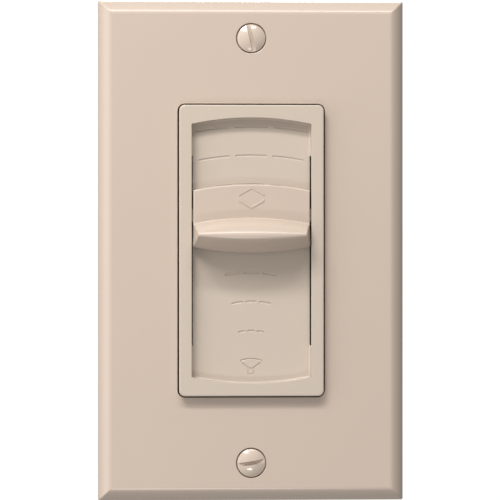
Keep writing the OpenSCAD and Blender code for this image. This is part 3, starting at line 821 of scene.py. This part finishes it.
def makeSlider(look):
    low, high = span("slider")
    half = look["halfWidth"]
    face, back, reach = bezelFront, floorFront - look["clearance"], low.y
    footIn, footUp, baseIn = look["foot"]
    quarter = [pi / 2 * k / 4 for k in range(5)]
    m = Mould()

    # the section at x: depth and height pairs, from the back of the top edge round the lip to the base
    def section(x):
        share = (x / half) ** 2
        top = high.z - arcDrop(x, look["topBow"])
        crease = look["crease"] - arcDrop(x, look["topBow"])
        base = low.z + arcDrop(x, look["baseBow"])
        radius, height = (a + (b - a) * share for a, b in (look["noseRadius"], look["noseHeight"]))
        centre = (reach + arcDrop(x, look["nosePlan"]) + radius, height)
        e = look["edge"]
        points = [(back, top)]
        points += [(face + e - e * sin(a), top - e + e * cos(a)) for a in quarter]
        points += [(face, crease + (top - e - crease) * (1 - k / 6)) for k in range(1, 6)]
        # the top of the lip, from the crease out and down to the tip of the nose
        tip = (centre[0] - radius, centre[1])
        bend = (tip[0], crease - (face - tip[0]) / tan(radians(look["shelfTilt"])))
        points += [sweep((face, crease), bend, tip, look["hug"], k / 14) for k in range(15)]
        # round the nose, then straight back to the foot of the base
        foot = (face + footIn, base + footUp)
        away = hypot(foot[0] - centre[0], foot[1] - centre[1])
        leave = atan2(foot[1] - centre[1], foot[0] - centre[0]) - acos(radius / away) + 2 * pi
        for k in range(1, 17):
            a = pi + (leave - pi) * k / 16
            points.append((centre[0] + radius * cos(a), centre[1] + radius * sin(a)))
        start = points[-1]
        points += [tuple(p + (q - p) * k / 6 for p, q in zip(start, foot)) for k in range(1, 7)]
        points += [(face + baseIn, base), (back, base)]
        return points

    rings = []
    taper = look["taper"] / (face - reach)
    for i in range(look["slices"] + 1):
        t = -1 + 2 * i / look["slices"]
        rings.append(m.ring([(t * (half - taper * max(0.0, face - y)), y, z) for y, z in section(half * t)]))
    m.walls(rings)
    # each end is closed by two faces that meet in a line from the crease to the foot
    creaseAt, footAt = 11, len(rings[0]) - 2
    for end in (rings[0], rings[-1]):
        m.bm.faces.new(end[:creaseAt + 1] + end[footAt:])
        m.bm.faces.new(end[creaseAt:footAt + 1])
    m.piece("fingerSlider", almond, "almond_plastic", body="slider", stands=["slider"], angle=30,
        bevel=0.28, steps=3)

    legs = Mould()
    for s in (-1, 1):
        for a, b in look["leg"]:
            x0, x1 = sorted((s * a[0], s * b[0]))
            legs.block((x0, a[1], a[2]), (x1, b[1], b[2]))
    legs.piece("sliderLegs", almond, "almond_plastic", body="slider", bevel=0.08)

    marks = Mould()
    for z, up in look["arrows"]:
        marks.slab([(x, z + up * v) for x, v in look["arrow"]], face - look["arrowRise"], face + 0.1)
    marks.piece("sliderArrows", almond, "almond_plastic", body="slider", bevel=0.09)


makeSlider(sliderLook)
print("slider made")

# transformer cores: real stacks of sheets, with an open line between one sheet and the next
coreLook = {
    "sheets": 20,
    "line": 0.09,
    "limb": 5.0,
    "inset": (0.1, 0.18),    # how far its heart lies inside the stack: across, and round
}


def makeCore(node, look):
    low, high = span(node)
    pitch = (high.x - low.x) / look["sheets"]
    middle = (low.z + high.z) / 2
    limb = look["limb"]
    m = Mould()
    for i in range(look["sheets"]):
        # every other sheet stands a hair back
        back = 0.05 if i % 2 else 0.0
        x0 = low.x + pitch * i + look["line"] / 2
        x1 = x0 + pitch - look["line"]
        y1, z0, z1 = high.y - back, low.z + back, high.z - back
        loops = [[(low.y, z0), (y1, z0), (y1, z1), (low.y, z1)]]
        for side in (-1, 1):
            z = middle + side * 1.5 * limb
            y0, y1, z0, z1 = low.y + limb, high.y - limb, z - limb / 2, z + limb / 2
            loops.append([(y0, z0), (y1, z0), (y1, z1), (y0, z1)])
        faces = [[m.ring([(x, y, z) for y, z in loop]) for loop in loops] for x in (x0, x1)]
        for a, b in zip(*faces):
            m.walls([a, b])
        for rings in faces:
            m.lid(*rings)
    # the varnished heart that closes the lines between the sheets
    across, inset = look["inset"]
    x0, x1 = low.x + across, high.x - across
    y0, y1, z0, z1 = low.y + inset, high.y - inset, low.z + inset, high.z - inset
    m.block((x0, y0, z0), (x1, low.y + limb - inset, z1))
    m.block((x0, high.y - limb + inset, z0), (x1, y1, z1))
    for start, end in ((z0, low.z + limb - inset), (high.z - limb + inset, z1)):
        m.block((x0, y0, start), (x1, y1, end))
    m.piece(node + ".sheets", coreSteel, "core_steel", stands=[node])


makeCore("left_core", coreLook)
makeCore("right_core", coreLook)

bracketLook = {
    "thickness": 1.0,
    "bend": 1.6,              # outside radius of the two bends
    "panel": (25.0, 23.0),    # pressed panel on the back, across and up
    "press": 0.45,            # its depth
    "slope": 0.9,
    "footWidth": 5.0,
    "footX": 10.6,
    "edge": 0.12,
}


def makeBracket(look):
    low, high = span("transformer_bracket")
    boardBack = span("contact_board")[1].y
    middle = (low.z + high.z) / 2
    tall = (high.z - low.z) / 2
    t, r = look["thickness"], look["bend"]
    m = Mould()

    # one half of the strap's edge, from the board round the bend
    def line(inset):
        radius = r - inset
        points = [(boardBack, tall - inset)]
        for k in range(9):
            a = pi / 2 * k / 8
            points.append((high.y - r + radius * sin(a), tall - r + radius * cos(a)))
        return points

    outer, inner = line(0), line(t)
    loop = [(y, middle + z) for y, z in outer] + [(y, middle - z) for y, z in outer[::-1]]
    loop += [(y, middle - z) for y, z in inner] + [(y, middle + z) for y, z in inner[::-1]]
    rings = [m.ring([(x, y, z) for y, z in loop]) for x in (-high.x, high.x)]
    backEdge = len(outer) - 1   # the outer back face lies between this point and the next
    for i in range(len(loop)):
        if i != backEdge:
            j = (i + 1) % len(loop)
            m.bm.faces.new((rings[0][i], rings[0][j], rings[1][j], rings[1][i]))
    for ring in rings:
        m.lid(ring)
    frameLoop = [rings[0][backEdge], rings[1][backEdge], rings[1][backEdge + 1], rings[0][backEdge + 1]]
    levels = []
    slope, press, (panelW, panelH) = look["slope"], look["press"], look["panel"]
    for grow, depth in ((slope, 0), (slope * 0.75, 0.06), (slope * 0.25, press - 0.06), (0, press)):
        outline = roundedRect(panelW + 2 * grow, panelH + 2 * grow, 2 + grow, 5)
        levels.append(m.ring([(x, high.y - depth, middle + z) for x, z in outline]))
    m.lid(frameLoop, levels[0])
    m.walls(levels)
    m.lid(levels[-1])
    for side in (-1, 1):
        for x in (-look["footX"], look["footX"]):
            z0, z1 = sorted((middle + side * (tall - t), middle + side * tall))
            m.block((x - look["footWidth"] / 2, low.y, z0), (x + look["footWidth"] / 2, boardBack + 0.05, z1))
    m.piece("bracketStrap", zincSteel, "zinc_steel", stands=["transformer_bracket"], angle=40,
        bevel=look["edge"])


makeBracket(bracketLook)
print("transformer cores and strap made")

# what is printed and etched on the board
boardLook = {
    "copper": 0.05,      # how far a track stands up under the mask
    "print": 0.03,       # how far the white outlines stand up
    "line": 0.22,        # width of a white line
    "pole": 5.08,        # from one pole of a terminal block to the next
    "poleX": 10.4,       # middle of each block
    "jumperZ": -9.0,
}


# a raised line of one width along a path in X and Z
def track(m, path, width, base, rise):
    half = width / 2
    for (x0, z0), (x1, z1) in zip(path, path[1:]):
        length = hypot(x1 - x0, z1 - z0)
        ux, uz = (x1 - x0) / length * half, (z1 - z0) / length * half
        outline = []
        for cx, cz, sign in ((x0, z0, -1), (x1, z1, 1)):
            for k in range(7):
                a = pi / 2 - pi * k / 6
                outline.append((cx + sign * (ux * cos(a) + uz * sin(a)),
                    cz + sign * (uz * cos(a) - ux * sin(a))))
        m.slab(outline, base, base + rise)


def makeBoardPrint(look):
    base = span("contact_board")[1].y
    copper, white, tin = Mould(), Mould(), Mould()

    # a white outline round a header, a little way off it
    def frameHeader(node, off):
        low, high = span(node)
        x0, x1, z0, z1 = low.x - off, high.x + off, low.z - off, high.z + off
        track(white, [(x0, z0), (x1, z0), (x1, z1), (x0, z1), (x0, z0)], look["line"], base, look["print"])
        return high.z

    for s in (-1, 1):
        for k in range(4):
            x = s * (look["poleX"] + (k - 1.5) * look["pole"])
            # from each pole of a terminal up towards the jumpers and the transformer
            up = look["jumperZ"] - 4.6 + 0.9 * abs(k - 1.5)
            lean = s * (4.5 + 1.3 * k)
            end = x * 0.82 + lean * 0.18
            path = [(x, -18.2), (x, up - 1.6), (end, up), (end, up + 2.2)]
            track(copper, path, 0.75 if k % 3 else 1.3, base, look["copper"])
        for k, z in enumerate((-32.2, -33.2)):
            track(copper, [(s * (4 + 2 * k), z), (s * (13 + 2 * k), z), (s * (14.2 + 2 * k), z + 1.2),
                (s * (14.2 + 2 * k), -30.6)], 0.5, base, look["copper"])
        for k in range(2):
            x, top = s * (18.3 + 0.95 * k), 27.5 - 1.5 * k
            path = [(x - s * 1.6, -15.4 + k), (x, -13.8 + k), (x, top), (x - s, top + 1)]
            track(copper, path, 0.45, base, look["copper"])
        track(copper, [(s * 3, 34.0), (s * 12, 34.0), (s * 13.2, 32.8)], 0.6, base, look["copper"])
        # a white outline round the terminal block, with a short line at each pole
        top = frameHeader("input_header" if s < 0 else "output_header", 0.3)
        for k in range(4):
            x = s * (look["poleX"] + (k - 1.5) * look["pole"])
            track(white, [(x, top + 0.9), (x, top + 1.5)], look["line"], base, look["print"])
        # bare rings round the screw holes
        for z in (-32.6, 32.6):
            low, high = base - 0.02, base + look["copper"]
            rings = [tin.flat(circle(r, 40, s * 19.2, z), y)
                for r, y in ((1.3, low), (1.3, high), (2.15, high), (2.15, low))]
            tin.walls(rings + rings[:1])
    frameHeader("jumper_header", 0.35)
    # small plated holes where a track changes sides
    for x, z in ((3.4, -14.6), (1.2, -15.8), (19.4, -17), (16.2, 34)):
        for s in (-1, 1):
            rings = [tin.flat(circle(r, 24, s * x, z), base + y)
                for r, y in ((0.2, -0.3), (0.2, 0.05), (0.45, 0.05), (0.45, -0.02))]
            tin.walls(rings)
            tin.lid(rings[0])
    copper.piece("boardTracks", circuitBoard, "circuit_board", bevel=0.015, steps=1)
    white.piece("boardPrint", printInk, "circuit_board")
    tin.piece("boardRings", tinnedPin, "tinned_pin", bevel=0.02, steps=1)


makeBoardPrint(boardLook)
print("board print made")

# tape over the windings

tapeLook = {
    "bow": 0.12,
    "corner": 2.75,
    "thickness": 0.2,
    "flap": (7.5, 0.14),    # height and thickness of the loose end
}


def makeTape(node, look):
    low, high = span(node)
    cx, cz = (low.x + high.x) / 2, (low.z + high.z) / 2
    w, h = high.x - low.x, high.z - low.z
    side = 1 if cx > 0 else -1
    m = Mould()
    # a sleeve that is slightly bowed over the winding
    steps = 12
    thick, corner = look["thickness"] + 0.01, look["corner"]
    inner = roundedRect(w - 2 * thick, h - 2 * thick, corner - look["thickness"], 6)
    outer = roundedRect(w, h, corner, 6)
    rings = [[(cx + x, low.y, cz + z) for x, z in inner]]
    for k in range(steps + 1):
        t = k / steps
        y = low.y + (high.y - low.y) * t
        sag = -look["bow"] * (2 * t - 1) ** 2
        rings.append([(cx + x * (1 + 2 * sag / w), y, cz + z * (1 + 2 * sag / h)) for x, z in outer])
    rings.append([(cx + x, high.y, cz + z) for x, z in inner])
    rings = [m.ring(r) for r in rings]
    m.walls(rings + rings[:1])
    m.piece(node + ".wrap", windingTape, "winding_tape", stands=[node], angle=50)
    # the loose end of the tape, on the outer side
    flap = Mould()
    flapHeight, flapThick = look["flap"]
    x0, x1 = sorted((cx + side * (w / 2 - flapThick), cx + side * w / 2))
    flap.block((x0, low.y + 0.5, cz - flapHeight / 2), (x1, high.y - 0.5, cz + flapHeight / 2))
    flap.piece(node + ".flap", windingTape, "winding_tape", bevel=0.04)


makeTape("left_tape", tapeLook)
makeTape("right_tape", tapeLook)
print("tape made")

# node: finish, and the softness of its edges
fittings = {
    "carriage": (blackPlastic, 0.15), "detent_spring": (springSteel, 0.0), "guide_rods": (rodSteel, 0.1),
    "slide_housing": (greyPlastic, 0.3), "yoke": (zincSteel, 0.12), "contact_board": (circuitBoard, 0.06),
    "board_screws": (zincSteel, 0.12), "transformer_pins": (tinnedPin, 0.05),
    "jumper_header": (blackPlastic, 0.12), "jumper_caps": (blackPlastic, 0.18),
    "jumper_pins": (contactPlate, 0.06),
}
for side in ("left_", "right_"):
    fittings |= {side + "wiper": (phosphorBronze, 0.0), side + "contacts": (contactPlate, 0.0),
        side + "bobbin": (bobbinPlastic, 0.12), side + "winding": (enamelWire, 0.2)}
for side in ("input_", "output_"):
    fittings |= {side + "header": (terminalPlastic, 0.2), side + "plug": (terminalPlastic, 0.2),
        side + "pins": (tinnedPin, 0.1), side + "clamps": (phosphorBronze, 0.08),
        side + "clamp_screws": (zincSteel, 0.1)}


def finishFitting(node, finish, softness):
    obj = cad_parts[node]
    for slot in obj.material_slots:
        slot.material = finish
    weld = obj.modifiers.new("weld", "WELD")
    weld.merge_threshold = 0.002 * mm
    if softness:
        soften(obj, softness, 2, 35)
    obj.modifiers.new("normals", "WEIGHTED_NORMAL").keep_sharp = True


for node, (finish, softness) in fittings.items():
    finishFitting(node, finish, softness)
print("fittings finished")

# light, floor and camera

stageLook = {
    "ambient": (0.27, 0.26),     # even, and from the left
    # each light: the way to it, how far, its size (all in metres) and its watts
    "key": {"towards": (-0.37, -0.6, 0.71), "away": 0.75, "size": (0.32, 0.23), "power": 3.4},
    "leftFill": {"towards": (-0.93, -0.35, 0.0), "away": 0.3, "size": (0.22, 0.36), "power": 0.32},
    "strip": {"towards": (-0.05, -0.57, 0.82), "away": 0.8, "size": (0.6, 0.07), "power": 3.5},
    "lowCard": {"towards": (-0.06, -0.8, -0.6), "away": 0.38, "size": (0.1, 0.022), "power": 0.2},
    "behind": {"towards": (0.1, 0.85, 0.5), "away": 1.0, "size": (0.5, 0.5), "power": 7.0},
    "floorDrop": 0.2,      # metres below the plate's foot
    "floorReach": 1.9,
    "floorFade": 1.6,      # higher keeps more of the floor before it fades into the background
}


def areaLight(name, look):
    data = bpy.data.lights.new(name, "AREA")
    data.shape = "RECTANGLE"
    data.size, data.size_y = look["size"]
    data.energy = look["power"]
    data.color = (1, 0.985, 0.96)
    lamp = bpy.data.objects.new(name, data)
    way = Vector(look["towards"]).normalized()
    lamp.location = way * look["away"]
    lamp.rotation_euler = (-way).to_track_quat("-Z", "Y").to_euler()
    scene.collection.objects.link(lamp)


def makeRoom(look):
    world = bpy.data.worlds.new("softRoom")
    scene.world = world
    world.use_nodes = True
    room = NodeBench(world.node_tree)
    direction = room.add("ShaderNodeTexCoord", {}, {}, "Generated")
    across = room.add("ShaderNodeSeparateXYZ", {}, {0: direction})
    even, left = look["ambient"]
    glow = even + (1 - across) * (left / 2)
    soft = room.add("ShaderNodeBackground", {}, {"Color": (1, 0.99, 0.975, 1), "Strength": glow})
    white = room.add("ShaderNodeBackground", {}, {"Color": (1, 1, 1, 1), "Strength": 1.05})
    seen = room.add("ShaderNodeLightPath", {}, {}, "Is Camera Ray")
    chosen = room.add("ShaderNodeMixShader", {}, {0: seen, 1: soft, 2: white})
    room.feed(room.tree.nodes["World Output"].inputs["Surface"], chosen)


def makeStage(look):
    floorMesh = bmesh.new()
    bmesh.ops.create_circle(floorMesh, cap_ends=True, segments=96, radius=look["floorReach"])
    mesh = bpy.data.meshes.new("paleFloor")
    floorMesh.to_mesh(mesh)
    floorMesh.free()
    floor = bpy.data.objects.new("paleFloor", mesh)
    floor.location = (0, 0, cadBox[0][2] - look["floorDrop"])
    floor.visible_diffuse = False
    floor.visible_glossy = False
    scene.collection.objects.link(floor)
    white = (0.9, 0.9, 0.895)
    paper = Finish("palePaper", white, 0.9, Emission_Color=(*white, 1), Emission_Strength=0.25)
    paper.tint(0.01, paper.noise(3, 3))
    x, y = paper.axis(0), paper.axis(1)
    away = (x * x + y * y).power(0.5)
    paper.set("Alpha", (look["floorFade"] - away * (look["floorFade"] / look["floorReach"])).clamped())
    mesh.materials.append(paper.material)
    for name in ("key", "leftFill", "strip", "lowCard", "behind"):
        areaLight(name, look[name])
    makeRoom(look)
    scene.view_settings.view_transform = "Standard"
    scene.view_settings.look = "None"


cameraLook = {
    "azimuth": -2.5,     # degrees, from the left
    "away": 0.6,         # metres from the plate's face
    "lens": 189.6,
    "aim": (-0.00029, -0.0056, 0.00013),
}


def makeCamera(look):
    data = bpy.data.cameras.new("camera")
    data.lens = look["lens"]
    data.sensor_width = 36
    data.clip_start = 0.01
    camera = bpy.data.objects.new("camera", data)
    a = radians(look["azimuth"])
    aim = Vector(look["aim"])
    camera.location = aim + Vector((sin(a), -cos(a), 0)) * look["away"]
    camera.rotation_euler = (aim - camera.location).to_track_quat("-Z", "Y").to_euler()
    scene.collection.objects.link(camera)
    scene.camera = camera


makeStage(stageLook)
makeCamera(cameraLook)
print("stage made")
